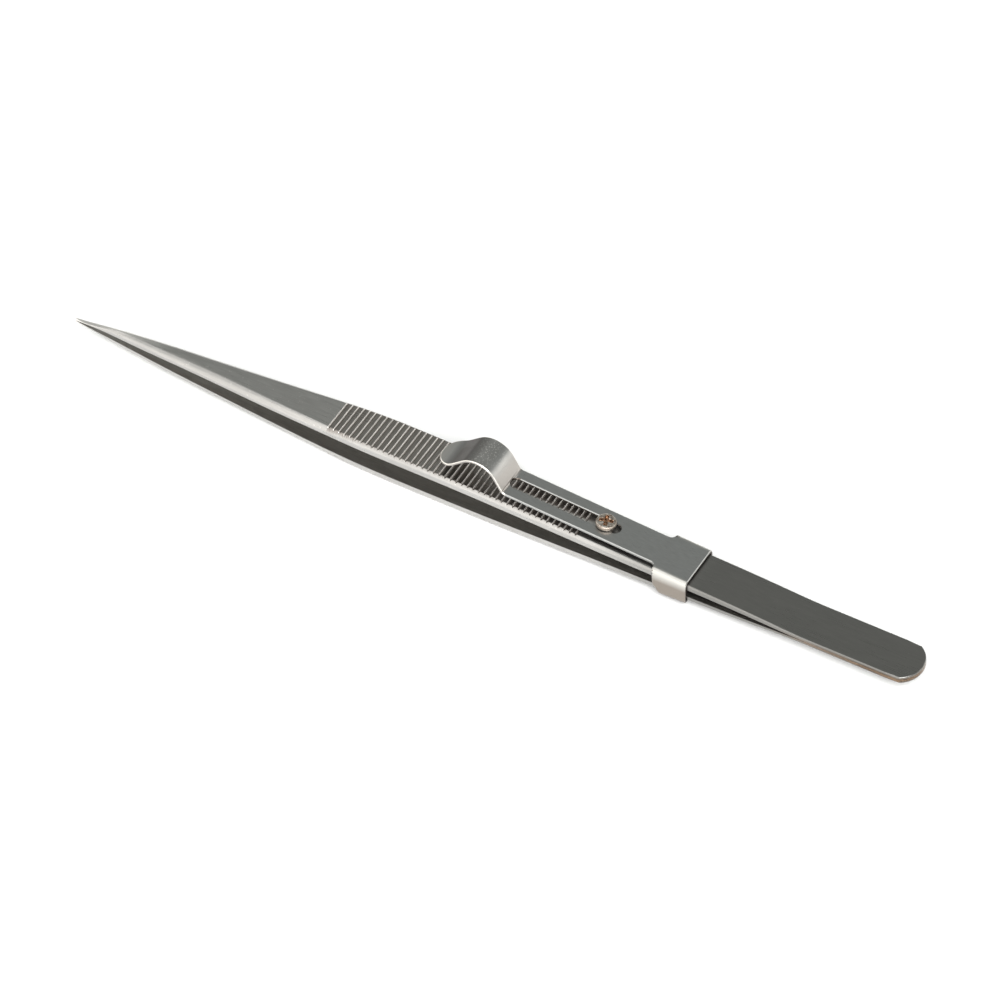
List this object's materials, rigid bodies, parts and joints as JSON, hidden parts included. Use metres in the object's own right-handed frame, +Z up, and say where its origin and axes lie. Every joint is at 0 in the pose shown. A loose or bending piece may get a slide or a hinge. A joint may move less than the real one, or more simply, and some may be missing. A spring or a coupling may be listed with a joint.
{
  "type": "precision tweezers",
  "caption": "Pointed self-opening tweezers with a slotted sliding lock that closes the blades, a thumb tab, grooved finger grips and a guide screw.",
  "frame": {"origin": "middle of the bounding box at its lowest point, which is the belly of the lower blade", "axes": "+X from the pointed tips to the tail, +Z up through the slide and its screw, +Y across the blades"},
  "size_m": [0.165, 0.0098, 0.0128],
  "materials": {
    "blade_steel": "satin brushed stainless steel with bright ground edges",
    "slide_steel": "satin stainless sheet with bright sheared edges",
    "screw_metal": "polished nickel-plated steel with a warm tint",
    "braze_metal": "matt copper-coloured filler metal"
  },
  "bodies": {
    "lower_arm": {"lower_jaw": "blade_steel", "lower_grip": "blade_steel", "lower_spring": "blade_steel", "upper_tail": "blade_steel", "tail_braze": "braze_metal"},
    "upper_arm": {"upper_jaw": "blade_steel", "upper_grip": "blade_steel", "upper_spring": "blade_steel", "guide_screw": "screw_metal"},
    "slide": {"slide_lock": "slide_steel"}
  },
  "joints": [
    {"name": "arm_flex", "type": "hinge", "parent": "lower_arm", "child": "upper_arm", "pos_m": [0.0625, 0, 0.00408], "axis": [0, 1, 0], "range_deg": [0, 3.6]},
    {"name": "slide_travel", "type": "slide", "parent": "upper_arm", "child": "slide", "axis": [0.9984, 0, -0.057], "range_m": [0, 0.0155]}
  ],
  "couplings": [
    {"joint": "arm_flex", "follows": "slide_travel", "rad_per_m": 4}
  ]
}
